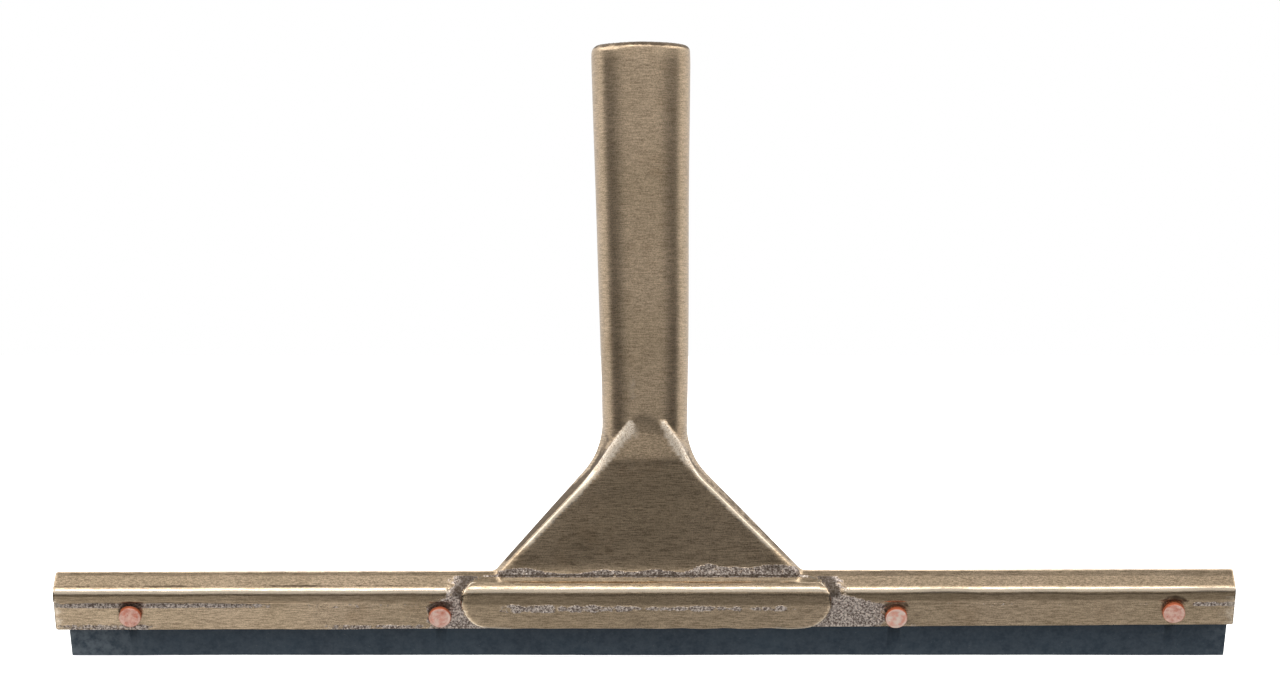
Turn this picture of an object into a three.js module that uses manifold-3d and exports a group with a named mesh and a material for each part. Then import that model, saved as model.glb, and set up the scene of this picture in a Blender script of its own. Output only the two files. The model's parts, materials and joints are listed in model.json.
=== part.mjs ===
// A window squeegee of spark-free bronze. One casting holds the round hollow handle, the web and a blade
// holder of bent section. A rubber blade and a clamp strip lie inside the holder, and four copper rivets
// go through all three.
//
// Millimetres. +X runs along the blade, +Z up the handle, and -Y is the front. The origin is on the
// handle's axis, level with the blade's wiping edge.
import * as THREE from 'three';
import { mergeVertices } from 'three/addons/utils/BufferGeometryUtils.js';
import Module from 'manifold-3d';

const wasm = await Module();
wasm.setup();

// ---- Driving dimensions ---------------------------------------------------------------------------

const TOTAL_HEIGHT = 210.6;
const GAP = 0.3; // left between clamped faces, and round each rivet's shank

// The blade holder: a front flange that leans back towards its bottom, and a leg that slopes back from
// the ridge over the blade's upper edge.
const HOLDER_LENGTH = 404.6;
const LEAN = THREE.MathUtils.degToRad(26); // of the flange and the blade, from the vertical
const RIDGE = { y: -8, z: 23.6 }; // the corner of the flange's front and the leg's top, before rounding
const RIDGE_ROUND = 2.4;
const FLANGE_FOOT_Z = 10.7;
const FLANGE_THICKNESS = 4;
const LEG_SLOPE = THREE.MathUtils.degToRad(45);
const LEG_TOP_Z = 30.2;
const SEAT_HEIGHT = 11.6; // from the flange's foot to the leg's underside, along the flange

const BLADE = { length: 399.6, centreX: 1.3, thickness: 3, endCut: 0.7 };
const STRIP = { length: 398, thickness: 3, foot: 0.8 };

// The pad that thickens the holder under the web.
const BOSS = { centreX: 0.7, length: 126.2, proud: 2.3, footZ: 10.4, topZ: 28.9, endRadius: 10.5 };

// The web, from the handle's foot to the holder. Its right flank flares a little more than its left.
const WEB_FLARE_LEFT = THREE.MathUtils.degToRad(41.8);
const WEB_FLARE_RIGHT = THREE.MathUtils.degToRad(44.5);
const WEB_CURVE = { radius: 26, topZ: 81.6 }; // the concave curve between the handle and each flank
// How far the flanks pull in for each millimetre towards the front or back, below and above these heights.
const WEB_DRAFT = { low: 0.42, lowZ: 62, high: 0.78, highZ: 79 };
const WEB_BLANK_DEPTH = 15;
const WEB_GABLE = { ridgeZ: 89.8, slope: 1.2 }; // the top of the web, which falls away inside the handle
const WEB_FOOT_Z = 26; // inside the leg

// The handle: a tapered tube, open at the top as a socket for a pole.
const HANDLE_FOOT = { x: 0.2, z: 79, radius: 14.4 };
const HANDLE_TOP = { x: -1.2, z: TOTAL_HEIGHT, radius: 17.2 };
const RIM_ROUND = 2;

// The web's front corners spread out of the handle higher up than its flanks do: half-widths at heights.
const LIP = [
  { z: 58, halfWidth: 23.5 },
  { z: 73.4, halfWidth: 12 },
  { z: 77, halfWidth: 8 },
  { z: 80.5, halfWidth: 1.5 },
];
const LIP_BACK = 5;
const SOCKET_FLOOR = { z: 84, radius: 5 };
const SOCKET_FOOT = { z: 88, radius: 11.4 };
const SOCKET_MOUTH = { radius: 14, chamfer: 0.3 };

const RIVET = { shank: 2, head: 3.8, headHeight: 1.6, headEdge: 0.35, tail: 3.4, tailHeight: 1.4 };
// The rivets were set by hand. Height is from the flange's foot, along the flange.
const RIVET_PLACES = [
  { x: -176, height: 4.9 },
  { x: -69.9, height: 4.7 },
  { x: 86.4, height: 4.5 },
  { x: 181.3, height: 6.4 },
];

// ---- Materials ------------------------------------------------------------------------------------

const CAST_BRONZE = new THREE.MeshStandardMaterial({ color: 0xb8a284, roughness: 0.35, metalness: 1 });
const STRIP_BRONZE = new THREE.MeshStandardMaterial({ color: 0xb09a78, roughness: 0.4, metalness: 1 });
const RUBBER = new THREE.MeshStandardMaterial({ color: 0x2b343c, roughness: 0.75, metalness: 0 });
const COPPER = new THREE.MeshStandardMaterial({ color: 0xd58a72, roughness: 0.4, metalness: 1 });

// ---- Solids ---------------------------------------------------------------------------------------

// A closed geometry as a manifold-3d solid.
function solidFrom(geometry) {
  const bare = geometry.clone();
  bare.deleteAttribute('normal');
  bare.deleteAttribute('uv');
  const merged = mergeVertices(bare, 1e-4);
  return new wasm.Manifold(new wasm.Mesh({
    numProp: 3,
    vertProperties: new Float32Array(merged.attributes.position.array),
    triVerts: new Uint32Array(merged.index.array),
  }));
}

// A manifold-3d solid as a geometry with flat-shaded faces.
function geometryFrom(solid) {
  const mesh = solid.getMesh();
  const indexed = new THREE.BufferGeometry();
  indexed.setAttribute('position', new THREE.BufferAttribute(new Float32Array(mesh.vertProperties), 3));
  indexed.setIndex(new THREE.BufferAttribute(new Uint32Array(mesh.triVerts), 1));
  const geometry = indexed.toNonIndexed();
  geometry.computeVertexNormals();
  return geometry;
}

// An outline in (y, z), extruded along x.
function alongX(shape, fromX, toX) {
  const geometry = new THREE.ExtrudeGeometry(shape, {
    depth: toX - fromX, bevelEnabled: false, curveSegments: 6,
  });
  geometry.applyMatrix4(new THREE.Matrix4().makeBasis(
    new THREE.Vector3(0, 1, 0),
    new THREE.Vector3(0, 0, 1),
    new THREE.Vector3(1, 0, 0),
  ));
  return geometry.translate(fromX, 0, 0);
}

// A closed skin through rings that rise, each anticlockwise seen from above and of the same count.
function loft(rings) {
  const count = rings[0].length;
  const index = [];
  for (let r = 0; r + 1 < rings.length; r += 1) {
    for (let i = 0; i < count; i += 1) {
      const a = r * count + i;
      const b = r * count + ((i + 1) % count);
      index.push(a, b, b + count, a, b + count, a + count);
    }
  }
  const last = (rings.length - 1) * count;
  for (let i = 1; i + 1 < count; i += 1) {
    index.push(0, i + 1, i);
    index.push(last, last + i, last + i + 1);
  }
  const geometry = new THREE.BufferGeometry();
  geometry.setFromPoints(rings.flat());
  geometry.setIndex(index);
  return geometry;
}

function ring(centreX, radius, z, count) {
  return Array.from({ length: count }, (_, i) => {
    const turn = (i / count) * 2 * Math.PI;
    return new THREE.Vector3(centreX + radius * Math.cos(turn), radius * Math.sin(turn), z);
  });
}

// ---- The flange's plane ---------------------------------------------------------------------------

const FLANGE_FOOT = {
  y: RIDGE.y + (RIDGE.z - FLANGE_FOOT_Z) * Math.tan(LEAN),
  z: FLANGE_FOOT_Z,
};
const STACK_BACK = FLANGE_THICKNESS + GAP + BLADE.thickness + GAP + STRIP.thickness;
const HOLDER_BACK = STACK_BACK + GAP; // the leg ends just behind the clamp strip

// The (y, z) point that lies so far up the flange from its foot, and so far behind its front face.
function onFlange(up, back) {
  return new THREE.Vector2(
    FLANGE_FOOT.y - up * Math.sin(LEAN) + back * Math.cos(LEAN),
    FLANGE_FOOT.z + up * Math.cos(LEAN) + back * Math.sin(LEAN),
  );
}

// ---- Cast body ------------------------------------------------------------------------------------

// The holder's section, with the flange's front and the leg's slope standing proud by so much.
function holderSection(proud) {
  const halfBend = (LEG_SLOPE + LEAN) / 2;
  const bisector = (LEG_SLOPE - LEAN) / 2;
  const reach = proud / Math.cos(halfBend);
  const ridge = new THREE.Vector2(
    RIDGE.y - reach * Math.cos(bisector),
    RIDGE.z + reach * Math.sin(bisector),
  );
  const slope = new THREE.Vector2(Math.cos(LEG_SLOPE), Math.sin(LEG_SLOPE));
  const down = new THREE.Vector2(Math.sin(LEAN), -Math.cos(LEAN));
  const topFront = ridge.clone().addScaledVector(slope, (LEG_TOP_Z - ridge.y) / slope.y);
  const topBack = onFlange((LEG_TOP_Z - onFlange(0, HOLDER_BACK).y) / Math.cos(LEAN), HOLDER_BACK);
  const roundTop = ridge.clone().addScaledVector(slope, RIDGE_ROUND);
  const roundFoot = ridge.clone().addScaledVector(down, RIDGE_ROUND);
  return new THREE.Shape([
    onFlange(0, -proud),
    onFlange(0, FLANGE_THICKNESS),
    onFlange(SEAT_HEIGHT, FLANGE_THICKNESS),
    onFlange(SEAT_HEIGHT, HOLDER_BACK),
    topBack,
    topFront,
    ...new THREE.QuadraticBezierCurve(roundTop, ridge, roundFoot).getPoints(5),
  ]);
}

function holder() {
  return solidFrom(alongX(holderSection(0), -HOLDER_LENGTH / 2, HOLDER_LENGTH / 2));
}

function boss() {
  const halfHeight = (BOSS.topZ - BOSS.footZ) / 2;
  const straight = BOSS.length / 2 - BOSS.endRadius;
  const outline = new THREE.Shape();
  outline.absellipse(straight, 0, BOSS.endRadius, halfHeight, -Math.PI / 2, Math.PI / 2);
  outline.absellipse(-straight, 0, BOSS.endRadius, halfHeight, Math.PI / 2, 1.5 * Math.PI);
  outline.closePath();
  const reach = 20;
  const pad = new THREE.ExtrudeGeometry(outline, {
    depth: 2 * reach, bevelEnabled: false, curveSegments: 12,
  });
  pad.rotateX(Math.PI / 2);
  pad.translate(BOSS.centreX, reach, (BOSS.topZ + BOSS.footZ) / 2);
  const grown = alongX(holderSection(BOSS.proud), -BOSS.length, BOSS.length);
  return solidFrom(pad).intersect(solidFrom(grown));
}

// The web's reach from the middle at a height: the handle's side, a concave curve, a straight flank.
function webReach(z, flare) {
  const side = HANDLE_FOOT.radius - 0.2;
  const drop = WEB_CURVE.topZ - z;
  const curveDrop = WEB_CURVE.radius * Math.sin(flare);
  if (drop <= 0) return side;
  if (drop <= curveDrop) return side + WEB_CURVE.radius - Math.sqrt(WEB_CURVE.radius ** 2 - drop ** 2);
  return side + WEB_CURVE.radius * (1 - Math.cos(flare)) + (drop - curveDrop) * Math.tan(flare);
}

function webGable() {
  const reach = WEB_BLANK_DEPTH + 1;
  const eavesZ = WEB_GABLE.ridgeZ - WEB_GABLE.slope * reach;
  const floorZ = WEB_FOOT_Z - 1;
  return solidFrom(alongX(new THREE.Shape([
    new THREE.Vector2(-reach, floorZ),
    new THREE.Vector2(reach, floorZ),
    new THREE.Vector2(reach, eavesZ),
    new THREE.Vector2(0, WEB_GABLE.ridgeZ),
    new THREE.Vector2(-reach, eavesZ),
  ]), -100, 100));
}

function web() {
  const levels = [WEB_FOOT_Z, LEG_TOP_Z, 45, 60, 63, 65, 67, 69, 71, 73, 75, 77, HANDLE_FOOT.z];
  const blank = solidFrom(loft(levels.map((z) => {
    const right = webReach(Math.max(z, LEG_TOP_Z), WEB_FLARE_RIGHT);
    const left = webReach(Math.max(z, LEG_TOP_Z), WEB_FLARE_LEFT);
    const draft = THREE.MathUtils.mapLinear(
      THREE.MathUtils.clamp(z, WEB_DRAFT.lowZ, WEB_DRAFT.highZ),
      WEB_DRAFT.lowZ, WEB_DRAFT.highZ, WEB_DRAFT.low, WEB_DRAFT.high,
    );
    const pullIn = draft * (WEB_BLANK_DEPTH - 1);
    return [
      new THREE.Vector3(right, -1, z),
      new THREE.Vector3(right, 1, z),
      new THREE.Vector3(right - pullIn, WEB_BLANK_DEPTH, z),
      new THREE.Vector3(pullIn - left, WEB_BLANK_DEPTH, z),
      new THREE.Vector3(-left, 1, z),
      new THREE.Vector3(-left, -1, z),
      new THREE.Vector3(pullIn - left, -WEB_BLANK_DEPTH, z),
      new THREE.Vector3(right - pullIn, -WEB_BLANK_DEPTH, z),
    ];
  })));
  return blank.intersect(webGable());
}

// The lip's front view, extruded from LIP_BACK in front of the middle plane to the web's blank depth.
function lip() {
  const right = LIP.map(({ z, halfWidth }) => new THREE.Vector2(HANDLE_FOOT.x + halfWidth, z));
  const left = LIP.map(({ z, halfWidth }) => new THREE.Vector2(HANDLE_FOOT.x - halfWidth, z));
  const geometry = new THREE.ExtrudeGeometry(new THREE.Shape([...right, ...left.reverse()]), {
    depth: WEB_BLANK_DEPTH - LIP_BACK, bevelEnabled: false,
  });
  geometry.rotateX(Math.PI / 2);
  return solidFrom(geometry.translate(0, -LIP_BACK, 0));
}

// The side view in (y, z) that the web and the handle's foot are ground to. Both faces are scooped in
// below the handle, and then run down to the holder.
function groundSide() {
  const shape = new THREE.Shape();
  const wide = 30;
  shape.moveTo(-3, WEB_FOOT_Z);
  shape.lineTo(1.2, WEB_FOOT_Z);
  shape.quadraticCurveTo(3.8, 30, 4.4, 36);
  shape.lineTo(9.2, 67);
  shape.quadraticCurveTo(10.2, 74, 15, 81);
  shape.lineTo(wide, 100);
  shape.lineTo(wide, TOTAL_HEIGHT + 5);
  shape.lineTo(-wide, TOTAL_HEIGHT + 5);
  shape.lineTo(-wide, 100);
  shape.lineTo(-15, 81);
  shape.quadraticCurveTo(-10.6, 77, -9.4, 67);
  shape.lineTo(-5.8, 33);
  shape.quadraticCurveTo(-5.6, 30.5, -6.3, 28.5);
  shape.closePath();
  return solidFrom(alongX(shape, -100, 100));
}

// The handle's centre x and radius, and the socket's radius, run straight from foot to top.
function between(foot, top, z) {
  const share = Math.max(z - foot.z, 0) / (top.z - foot.z);
  return {
    x: THREE.MathUtils.lerp(foot.x, top.x, share),
    radius: THREE.MathUtils.lerp(foot.radius, top.radius, share),
  };
}

function handle() {
  const sides = 48;
  const rings = [60, HANDLE_FOOT.z, 110, 145, 180].map((z) => {
    const at = between(HANDLE_FOOT, HANDLE_TOP, z);
    return ring(at.x, at.radius, z, sides);
  });
  const steps = 4;
  for (let i = 0; i <= steps; i += 1) {
    const turn = (i / steps) * (Math.PI / 2);
    const z = TOTAL_HEIGHT - RIM_ROUND * (1 - Math.sin(turn));
    const at = between(HANDLE_FOOT, HANDLE_TOP, z);
    rings.push(ring(at.x, at.radius - RIM_ROUND * (1 - Math.cos(turn)), z, sides));
  }
  return solidFrom(loft(rings));
}

// The hollow inside the handle. It narrows downwards and ends in a blunt cone.
function socket() {
  const sides = 36;
  const mouth = { z: TOTAL_HEIGHT, radius: SOCKET_MOUTH.radius };
  const rings = [ring(HANDLE_FOOT.x, SOCKET_FLOOR.radius, SOCKET_FLOOR.z, sides)];
  for (const z of [SOCKET_FOOT.z, 130, 170, TOTAL_HEIGHT - SOCKET_MOUTH.chamfer]) {
    const axis = between(HANDLE_FOOT, HANDLE_TOP, z);
    rings.push(ring(axis.x, between(SOCKET_FOOT, mouth, z).radius, z, sides));
  }
  for (const z of [TOTAL_HEIGHT, TOTAL_HEIGHT + 3]) {
    rings.push(ring(HANDLE_TOP.x, SOCKET_MOUTH.radius + SOCKET_MOUTH.chamfer, z, sides));
  }
  return solidFrom(loft(rings));
}

// A hole right through the flange, for a rivet's shank.
function flangeHole(place) {
  const geometry = new THREE.CylinderGeometry(RIVET.shank + GAP, RIVET.shank + GAP, 30, 20);
  geometry.rotateX(LEAN);
  const centre = onFlange(place.height, 0);
  geometry.translate(place.x, centre.x, centre.y);
  return solidFrom(geometry);
}

function castBody() {
  let body = web().add(lip()).add(handle()).intersect(groundSide());
  body = body.add(holder()).add(boss()).subtract(socket());
  for (const place of RIVET_PLACES) {
    body = body.subtract(flangeHole(place));
  }
  return new THREE.Mesh(geometryFrom(body), CAST_BRONZE);
}

// ---- Blade, strip and rivets ----------------------------------------------------------------------
// These are made in the flange's own frame: x along the blade, y up the flange, z out of its front.

// A flat plate with its front face at z = 0 and a hole for each rivet.
function drilledPlate(corners, thickness) {
  const outline = new THREE.Shape(corners);
  for (const place of RIVET_PLACES) {
    const hole = new THREE.Path();
    hole.absarc(place.x, place.height, RIVET.shank + GAP, 0, 2 * Math.PI, true);
    outline.holes.push(hole);
  }
  const geometry = new THREE.ExtrudeGeometry(outline, {
    depth: thickness, bevelEnabled: false, curveSegments: 20,
  });
  return geometry.translate(0, 0, -thickness);
}

function rubberBlade() {
  // The lower front edge is the object's lowest line, at z = 0.
  const foot = -onFlange(0, FLANGE_THICKNESS + GAP).y / Math.cos(LEAN);
  const top = SEAT_HEIGHT - GAP;
  const left = BLADE.centreX - BLADE.length / 2;
  const right = BLADE.centreX + BLADE.length / 2;
  const geometry = drilledPlate([
    new THREE.Vector2(left + BLADE.endCut, foot),
    new THREE.Vector2(right - BLADE.endCut, foot),
    new THREE.Vector2(right, top),
    new THREE.Vector2(left, top),
  ], BLADE.thickness);
  const mesh = new THREE.Mesh(geometry, RUBBER);
  mesh.position.z = -FLANGE_THICKNESS - GAP;
  return mesh;
}

function clampStrip() {
  const half = STRIP.length / 2;
  const top = SEAT_HEIGHT - GAP;
  const geometry = drilledPlate([
    new THREE.Vector2(-half, STRIP.foot),
    new THREE.Vector2(half, STRIP.foot),
    new THREE.Vector2(half, top),
    new THREE.Vector2(-half, top),
  ], STRIP.thickness);
  const mesh = new THREE.Mesh(geometry, STRIP_BRONZE);
  mesh.position.z = STRIP.thickness - STACK_BACK;
  return mesh;
}

// A flat head in front of the flange, a shank through the stack and a hammered tail behind the strip.
function rivet(place) {
  const headFace = GAP + RIVET.headHeight;
  const tailSeat = -STACK_BACK - GAP;
  const tailFace = tailSeat - RIVET.tailHeight;
  const profile = [
    new THREE.Vector2(0, tailFace),
    new THREE.Vector2(RIVET.tail - 0.8, tailFace),
    new THREE.Vector2(RIVET.tail, tailFace + 0.7),
    new THREE.Vector2(RIVET.tail, tailSeat),
    new THREE.Vector2(RIVET.shank, tailSeat),
    new THREE.Vector2(RIVET.shank, GAP),
    new THREE.Vector2(RIVET.head, GAP),
    new THREE.Vector2(RIVET.head, headFace - RIVET.headEdge),
    new THREE.Vector2(RIVET.head - RIVET.headEdge, headFace),
    new THREE.Vector2(0, headFace),
  ];
  const geometry = new THREE.LatheGeometry(profile, 24);
  geometry.rotateX(Math.PI / 2);
  const mesh = new THREE.Mesh(geometry, COPPER);
  mesh.position.set(place.x, place.height, 0);
  return mesh;
}

// ---- Assembly -------------------------------------------------------------------------------------

function named(mesh, name) {
  mesh.name = name;
  return mesh;
}

const flangeFrame = new THREE.Group();
flangeFrame.position.set(0, FLANGE_FOOT.y, FLANGE_FOOT.z);
flangeFrame.rotation.x = Math.PI / 2 + LEAN;
flangeFrame.add(named(rubberBlade(), 'rubber_blade'));
flangeFrame.add(named(clampStrip(), 'clamp_strip'));
RIVET_PLACES.forEach((place, i) => {
  flangeFrame.add(named(rivet(place), `rivet_${i + 1}`));
});

const squeegee = new THREE.Group();
squeegee.add(named(castBody(), 'cast_body'));
squeegee.add(flangeFrame);

export default squeegee;
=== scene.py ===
"""A riveted bronze window squeegee: visual meshes, materials and a pale studio round the CAD model."""

import json
import math

import bpy
import numpy as np
from mathutils import Matrix, Vector

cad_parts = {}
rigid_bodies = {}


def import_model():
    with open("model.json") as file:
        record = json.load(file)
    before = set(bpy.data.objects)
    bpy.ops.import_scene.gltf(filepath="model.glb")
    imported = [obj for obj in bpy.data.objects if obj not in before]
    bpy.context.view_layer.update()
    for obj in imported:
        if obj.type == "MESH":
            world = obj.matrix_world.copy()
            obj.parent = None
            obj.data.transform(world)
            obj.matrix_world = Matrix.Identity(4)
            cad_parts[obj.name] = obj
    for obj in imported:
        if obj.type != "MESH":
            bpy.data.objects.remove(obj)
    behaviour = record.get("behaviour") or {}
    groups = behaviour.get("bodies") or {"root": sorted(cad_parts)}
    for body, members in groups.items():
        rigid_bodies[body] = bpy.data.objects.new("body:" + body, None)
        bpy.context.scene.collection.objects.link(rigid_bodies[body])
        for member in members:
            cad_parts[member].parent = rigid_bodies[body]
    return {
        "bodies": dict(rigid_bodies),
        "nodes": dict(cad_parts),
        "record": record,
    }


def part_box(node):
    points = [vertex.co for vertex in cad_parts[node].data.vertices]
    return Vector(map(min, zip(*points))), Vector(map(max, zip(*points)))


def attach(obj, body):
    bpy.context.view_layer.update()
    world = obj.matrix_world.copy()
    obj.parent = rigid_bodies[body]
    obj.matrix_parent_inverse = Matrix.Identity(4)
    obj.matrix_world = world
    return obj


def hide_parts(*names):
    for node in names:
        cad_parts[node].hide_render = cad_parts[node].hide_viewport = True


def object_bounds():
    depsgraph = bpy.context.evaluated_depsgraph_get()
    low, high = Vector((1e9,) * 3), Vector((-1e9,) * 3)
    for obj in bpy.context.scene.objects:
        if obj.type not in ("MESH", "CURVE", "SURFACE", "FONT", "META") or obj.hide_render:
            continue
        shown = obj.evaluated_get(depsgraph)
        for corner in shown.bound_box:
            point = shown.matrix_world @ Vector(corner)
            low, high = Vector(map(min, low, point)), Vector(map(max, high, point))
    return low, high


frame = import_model()
CAD_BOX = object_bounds()
ROOT = next(iter(frame["bodies"]))

# ---- Datums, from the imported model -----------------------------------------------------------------
# Shapes are worked out in millimetres in the frame's own axes, and leave as metres.

M = 0.001


def box_mm(node):
    low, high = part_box(node)
    return np.array(low) / M, np.array(high) / M


MOUNTS = {m["name"]: m for m in frame["record"]["mounts"]}
CAST_LOW, CAST_HIGH = box_mm("cast_body")
HALF_LENGTH = (CAST_HIGH[0] - CAST_LOW[0]) / 2
TOP = CAST_HIGH[2]
SOCKET_MOUTH = np.array(MOUNTS["pole_socket"]["pos_m"]) / M
SOCKET_RADIUS = MOUNTS["pole_socket"]["dims"]["r_mm"]
SOCKET_FLOOR = TOP - MOUNTS["pole_socket"]["dims"]["length_mm"]
WIPING_EDGE = np.array(MOUNTS["wiping_edge"]["pos_m"]) / M
LEAN = math.asin(MOUNTS["wiping_edge"]["axis"][1])

FLANGE = 4.0  # thickness, and so are the next two
BLADE = 3.0
STRIP = 3.0
GAP = 0.3  # that the CAD model leaves between clamped faces
STACK = FLANGE + GAP + BLADE + GAP + STRIP
SEAT_HEIGHT = 11.6  # how far up the flange the seat for the blade and the strip reaches
FOOT_Z = 10.7

# The flange's frame: x along the blade, up its front face from its foot, and back through it.
UP = np.array([-math.sin(LEAN), math.cos(LEAN)])
BACK = np.array([math.cos(LEAN), math.sin(LEAN)])
BLADE_FRONT = WIPING_EDGE[1:] - BACK * BLADE / 2
FACE_POINT = BLADE_FRONT - BACK * (FLANGE + GAP)
FOOT = FACE_POINT + UP * (FOOT_Z - FACE_POINT[1]) / UP[1]


def flange_matrix():
    """Takes (x, up, forward) in the flange's frame to the world, in millimetres."""
    return Matrix((
        (1, 0, 0, 0),
        (0, UP[0], -BACK[0], FOOT[0]),
        (0, UP[1], -BACK[1], FOOT[1]),
        (0, 0, 0, 1),
    ))


def rivet_place(node):
    """A rivet's x and its height up the flange. The mean of a turned solid's points is on its axis."""
    points = np.array([v.co for v in frame["nodes"][node].data.vertices]) / M
    low, high = box_mm(node)
    mean = points.mean(axis=0)[1:] - FOOT
    return (low[0] + high[0]) / 2, float(mean @ UP)


RIVET_NUMBERS = range(1, 5)
RIVETS = [rivet_place(f"rivet_{i}") for i in RIVET_NUMBERS]

# ---- Distance fields -------------------------------------------------------------------------------


def smoothstep(low, high, value):
    t = np.clip((value - low) / (high - low), 0, 1)
    return t * t * (3 - 2 * t)


def softplus(value, width):
    """Zero below 0 and value above it, with a bend about as wide as width."""
    return width * np.logaddexp(0, value / width)


def bump_at(value, centre, width):
    return np.exp(-((value - centre) / width) ** 2)


def cut(a, b, radius):
    """What two solids share, with their new edge rounded."""
    return np.minimum(np.maximum(a, b), -radius) + np.hypot(
        np.maximum(a + radius, 0), np.maximum(b + radius, 0)
    )


def join(a, b, radius):
    """Two solids as one, with their new corner filleted."""
    return np.maximum(np.minimum(a, b), radius) - np.hypot(
        np.maximum(radius - a, 0), np.maximum(radius - b, 0)
    )


def waves(position, lengths, seed):
    """A smooth, uneven line or surface between about -1 and 1, from sines in random directions."""
    random = np.random.default_rng(seed)
    total = 0
    for length in lengths:
        turn = random.uniform(0, 2 * math.pi)
        direction = random.normal(size=len(position))
        direction /= np.linalg.norm(direction)
        along = sum(d * p for d, p in zip(direction, position))
        total = total + np.sin(2 * math.pi * along / length + turn)
    return total / len(lengths)


# ---- The casting's shape ---------------------------------------------------------------------------

RIDGE = np.array([-8.0, 23.6])
RIDGE_ROUND = 1.7
BOSS_RIDGE = np.array([-9.9, 23.9])
BOSS_SLOPE = math.radians(50)
LEG_TOP = 30.2
HOLDER_BACK = STACK + GAP
BOSS_CENTRE = 0.7
BOSS_HALF_LENGTH = 63.1
BOSS_PROUD = 2.3
BOSS_FOOT = CAST_LOW[2]
BOSS_TOP = 28.9
STEP_HEIGHT = 10.2  # up the flange, where the facet ground under the ridge ends
STEP_ROUND = 0.35
FACET_MIDDLE = 12.2  # up the flange, where the facet is level with the flange's face
FACET_TILT = 0.15
STREAK_HEIGHT = 8.4  # up the flange, where a groove runs along the boss
GROOVE_WIDTH = 0.6
EDGE_ROUND = 0.5
FOOT_TILT = 0.7  # how much the flange's foot rises from the middle to the right end
FOOT_DROP = 0.4
RIVET_HOLE = 2.2

HANDLE_FOOT = 79.0
HANDLE_FOOT_X = 0.2
HANDLE_FOOT_RADIUS = 14.4
HANDLE_TOP_RADIUS = 17.2
HANDLE_BOTTOM = 60.0  # inside the web
RIM_ROUND = 2.0
SOCKET_FOOT_RADIUS = 11.4
SOCKET_BOTTOM_ROUND = 6.0

WEB_FLARE_LEFT = math.radians(41.8)
WEB_FLARE_RIGHT = math.radians(44.5)
WEB_CURVE = 26.0
WEB_CURVE_TOP = 81.6
WEB_DRAFT_LEFT = 0.56
WEB_DRAFT_RIGHT = 0.48
WEB_DRAFT_TOP = 0.78
WEB_GABLE_TOP = 89.8  # the web's top falls away to the front and back, inside the handle
WEB_GABLE_SLOPE = 1.2
WEB_BOTTOM = 26.0
WEB_LEVEL = 33.0  # where the next two depths from the handle's axis are taken
WEB_FRONT = 5.8
WEB_REAR = 4.2
WEB_FRONT_SLOPE = 0.106
WEB_REAR_SLOPE = 0.142
WEB_EDGE_ROUND = 0.35
SCOOP_FOOT = 68.6  # where the front starts to slope out to the handle
SCOOP_SLOPE = 0.29
REAR_SCOOP_FOOT = 76.4
BEVEL_TURN = math.radians(34)

LIP_TOP = 80.8
LIP_BOTTOM = 56.0
LIP_LEFT = 5.5  # half-widths at its top
LIP_RIGHT = 7.5
LIP_LEFT_SLOPE = 0.755
LIP_RIGHT_SLOPE = 0.77  # near the top
LIP_RIGHT_LOW_SLOPE = 0.55
LIP_RIGHT_LOW_SHIFT = 1.2
LIP_REAR = -5.0
NOTCH_FOOT = 77.0
NOTCH_X = 1.0
NOTCH_SLOPE = 0.8
TIP_MIDDLE = 1.6  # halfway between the lip's two tips


def up_flange(y, z):
    return (y - FOOT[0]) * UP[0] + (z - FOOT[1]) * UP[1]


def back_flange(y, z):
    return (y - FOOT[0]) * BACK[0] + (z - FOOT[1]) * BACK[1]


def holder_lift(x):
    """The holder stands a little higher at its right end than at its left."""
    return 0.5 * x / HALF_LENGTH


def ridge_waver(x):
    """How far hand grinding left the ridge from a straight line."""
    return (0.12 + 0.2 * smoothstep(60, 95, x)) * waves([x], [31, 47, 83], 3)


def past_step(up):
    return smoothstep(STEP_HEIGHT - STEP_ROUND, STEP_HEIGHT + STEP_ROUND, up)


def bent_section(x, y, z, front, slope):
    """A front and a slope that meet in the ridge, with the section's top and its foot."""
    bent = cut(front, slope, RIDGE_ROUND + 0.8 * ridge_waver(x))
    bent = cut(bent, z - LEG_TOP, EDGE_ROUND)
    foot = FOOT_TILT * x / HALF_LENGTH - FOOT_DROP
    return cut(bent, foot - up_flange(y, z), EDGE_ROUND)


def holder_section(x, y, z):
    """The holder's bent section, without its ends. Its step is deepest towards the left."""
    up = up_flange(y, z)
    far_left = smoothstep(-100, -150, x)
    on_facet = past_step(up)
    step = 0.05 + 0.43 * far_left + 0.03 * waves([x], [60, 110], 4)
    facet = FACET_TILT * (up - FACET_MIDDLE) * on_facet
    groove = (0.08 + 0.2 * far_left) * bump_at(up, STEP_HEIGHT - 0.8, GROOVE_WIDTH)
    front = step * (1 - on_facet) + facet + groove - back_flange(y, z)
    slope = (RIDGE[0] - y + z - RIDGE[1] + ridge_waver(x)) * math.sqrt(0.5)
    return bent_section(x, y, z, front, slope)


def boss_section(x, y, z):
    """The boss's bent section, which stands proud of the holder's."""
    up = up_flange(y, z)
    facet = FACET_TILT * (up - STEP_HEIGHT) * past_step(up)
    groove = 0.1 * bump_at(up, STREAK_HEIGHT, GROOVE_WIDTH)
    front = facet + groove - BOSS_PROUD - back_flange(y, z)
    above = z - BOSS_RIDGE[1] + ridge_waver(x)
    slope = above * math.cos(BOSS_SLOPE) - (y - BOSS_RIDGE[0]) * math.sin(BOSS_SLOPE)
    return bent_section(x, y, z, front, slope)


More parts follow.
